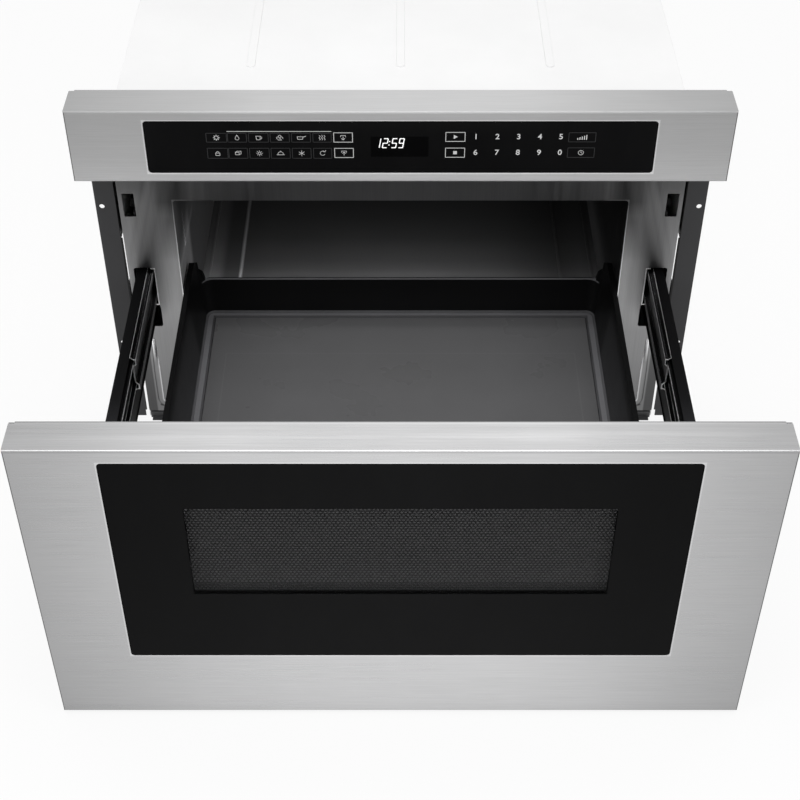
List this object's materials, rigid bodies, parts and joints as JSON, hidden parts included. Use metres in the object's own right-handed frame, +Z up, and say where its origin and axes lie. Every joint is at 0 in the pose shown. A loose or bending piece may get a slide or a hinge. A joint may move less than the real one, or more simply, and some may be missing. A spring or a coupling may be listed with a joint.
{
  "type": "microwave drawer",
  "caption": "Built-in microwave oven whose heated tub pulls out as a drawer on ball slides, under a touch-glass control panel.",
  "frame": {"origin": "underside of the base, on the centreline, at the plane of the cabinet's front (the back face of the mounting flanges)", "axes": "+Z up, +Y into the cabinet, so the front looks along -Y; drawn with the drawer open"},
  "size_m": [0.6064, 0.9503, 0.408],
  "materials": {
    "stainless": "brushed stainless steel, grain across",
    "plate_stainless": "satin stainless sheet",
    "black_glass": "black printed glass, polished",
    "screen": "dark perforated sheet",
    "flange_grey": "dark grey coated steel",
    "galvanised": "galvanised sheet",
    "case_white": "white powder coat, fine texture",
    "base_grey": "dark grey coated steel sheet",
    "cavity_enamel": "dark grey enamel",
    "tray_black": "black enamel, satin",
    "plate_glass": "dark grey glass ceramic, satin",
    "slide_zinc": "zinc plated steel",
    "arm_black": "black coated steel",
    "black_plastic": "moulded black plastic",
    "board_green": "circuit board",
    "bright_metal": "bare aluminium",
    "motor_steel": "plated steel",
    "mica": "pale microwave-clear cover"
  },
  "bodies": {
    "case": {"base_pan": "base_grey", "side_panel_left": "case_white", "side_panel_right": "case_white", "top_cover": "case_white", "rear_panel": "case_white", "face_plate": "plate_stainless", "mounting_flange_left": "flange_grey", "mounting_flange_right": "flange_grey", "cavity_wall_left": "cavity_enamel", "cavity_wall_right": "cavity_enamel", "cavity_back": "cavity_enamel", "cavity_floor": "cavity_enamel", "cavity_ceiling": "cavity_enamel", "slide_supports": "galvanised", "cabinet_slide_left": "slide_zinc", "cabinet_slide_right": "slide_zinc", "control_fascia": "stainless", "fascia_cover": "galvanised", "control_glass": "black_glass", "control_carrier": "black_plastic", "control_board": "board_green", "waveguide": "bright_metal", "magnetron": "bright_metal", "stirrer_motor": "motor_steel", "stirrer_cover": "mica", "fan_housing": "black_plastic", "fan_motor": "motor_steel", "transformer": "motor_steel", "capacitor": "bright_metal", "noise_filter": "board_green", "cavity_lamp": "mica", "power_gland": "black_plastic", "latch_bracket_left": "black_plastic", "latch_bracket_right": "black_plastic", "gear_motor": "motor_steel", "rack_guide": "galvanised", "case_screws": "case_white"},
    "drawer": {"drawer_skin": "stainless", "drawer_glass": "black_glass", "window_screen": "screen", "drawer_frame": "black_plastic", "tray": "tray_black", "tray_plate": "plate_glass", "latch_hooks": "black_plastic", "drawer_arm_left": "arm_black", "drawer_arm_right": "arm_black", "drawer_slide_left": "slide_zinc", "drawer_slide_right": "slide_zinc", "drive_rack": "black_plastic"},
    "mid_left": {"mid_slide_left": "slide_zinc"},
    "outer_balls_left": {"outer_cage_left": "slide_zinc"},
    "inner_balls_left": {"inner_cage_left": "slide_zinc"},
    "lever_left": {"latch_lever_left": "black_plastic"},
    "mid_right": {"mid_slide_right": "slide_zinc"},
    "outer_balls_right": {"outer_cage_right": "slide_zinc"},
    "inner_balls_right": {"inner_cage_right": "slide_zinc"},
    "lever_right": {"latch_lever_right": "black_plastic"},
    "pinion": {"drive_pinion": "black_plastic"},
    "impeller": {"fan_impeller": "black_plastic"},
    "stirrer": {"stirrer": "motor_steel"}
  },
  "joints": [
    {"name": "drawer_slide", "type": "slide", "parent": "case", "child": "drawer", "axis": [0, 1, 0], "range_m": [0, 0.3558]},
    {"name": "mid_left_slide", "type": "slide", "parent": "case", "child": "mid_left", "axis": [0, 1, 0], "range_m": [0, 0.178]},
    {"name": "outer_balls_left_slide", "type": "slide", "parent": "case", "child": "outer_balls_left", "axis": [0, 1, 0], "range_m": [0, 0.089]},
    {"name": "inner_balls_left_slide", "type": "slide", "parent": "case", "child": "inner_balls_left", "axis": [0, 1, 0], "range_m": [0, 0.267]},
    {"name": "mid_right_slide", "type": "slide", "parent": "case", "child": "mid_right", "axis": [0, 1, 0], "range_m": [0, 0.178]},
    {"name": "outer_balls_right_slide", "type": "slide", "parent": "case", "child": "outer_balls_right", "axis": [0, 1, 0], "range_m": [0, 0.089]},
    {"name": "inner_balls_right_slide", "type": "slide", "parent": "case", "child": "inner_balls_right", "axis": [0, 1, 0], "range_m": [0, 0.267]},
    {"name": "pinion_turn", "type": "hinge", "parent": "case", "child": "pinion", "pos_m": [0, 0.06, 0.046], "axis": [1, 0, 0], "range_deg": [-1275, 0]},
    {"name": "fan_spin", "type": "hinge", "parent": "case", "child": "impeller", "pos_m": [-0.17, 0.53, 0.1], "axis": [0, 1, 0], "continuous": true},
    {"name": "stirrer_spin", "type": "hinge", "parent": "case", "child": "stirrer", "pos_m": [0, 0.22, 0.28], "axis": [0, 0, 1], "continuous": true},
    {"name": "lever_left_press", "type": "hinge", "parent": "case", "child": "lever_left", "pos_m": [-0.26355, 0.03, 0.2679], "axis": [1, 0, 0], "range_deg": [0, 10], "stiffness_Nm_per_rad": 0.02},
    {"name": "lever_right_press", "type": "hinge", "parent": "case", "child": "lever_right", "pos_m": [0.26355, 0.03, 0.2679], "axis": [1, 0, 0], "range_deg": [0, 10], "stiffness_Nm_per_rad": 0.02}
  ],
  "couplings": [
    {"joint": "mid_left_slide", "follows": "drawer_slide", "ratio": 0.5},
    {"joint": "outer_balls_left_slide", "follows": "drawer_slide", "ratio": 0.25},
    {"joint": "inner_balls_left_slide", "follows": "drawer_slide", "ratio": 0.75},
    {"joint": "mid_right_slide", "follows": "drawer_slide", "ratio": 0.5},
    {"joint": "outer_balls_right_slide", "follows": "drawer_slide", "ratio": 0.25},
    {"joint": "inner_balls_right_slide", "follows": "drawer_slide", "ratio": 0.75},
    {"joint": "pinion_turn", "follows": "drawer_slide", "rad_per_m": -62.5}
  ]
}
